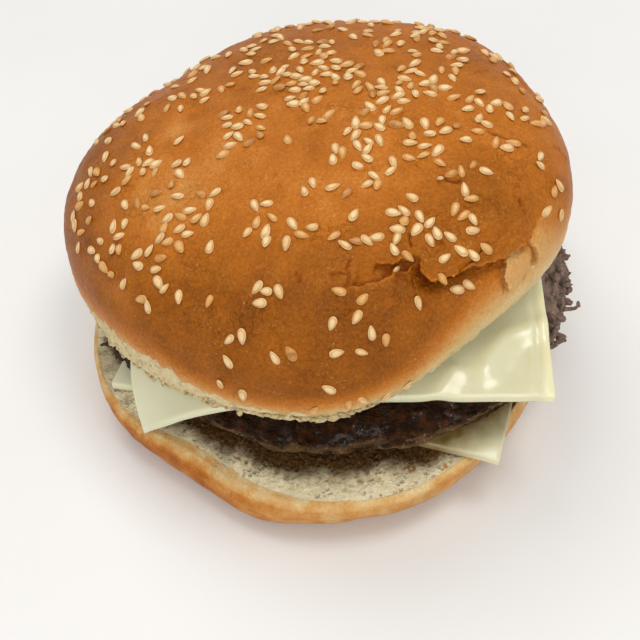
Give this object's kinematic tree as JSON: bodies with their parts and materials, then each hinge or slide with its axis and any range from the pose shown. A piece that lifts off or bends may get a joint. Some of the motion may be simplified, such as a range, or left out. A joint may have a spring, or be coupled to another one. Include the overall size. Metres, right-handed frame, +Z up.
{
  "type": "cheeseburger",
  "caption": "Cheeseburger: seeded bun crown and heel around a fried beef patty, with a square cheese slice above and below the patty.",
  "frame": {"origin": "middle of the heel's flat base, on the surface that the burger stands on", "axes": "+Z up through the layers, -Y towards the front, where the patty and both cheese slices show, +X to the right of that front"},
  "size_m": [0.1201, 0.1212, 0.0676],
  "materials": {
    "bun": "baked golden-brown bread crust with a soft sheen, paler at the rim, and pale open crumb where it is cut",
    "cheese": "smooth pale processed cheese, glossy and slightly wavy",
    "beef": "fried minced beef, nearly black and greasy on top, grey-brown and fibrous at the side",
    "sesame": "hulled sesame seed, cream to toasted amber",
    "crumb": "loose flakes of pale bread crumb along the cut edges"
  },
  "bodies": {
    "root": {"bun_heel": "bun", "cheese_lower": "cheese", "patty": "beef", "cheese_upper": "cheese", "bun_crown": "bun"}
  },
  "joints": []
}
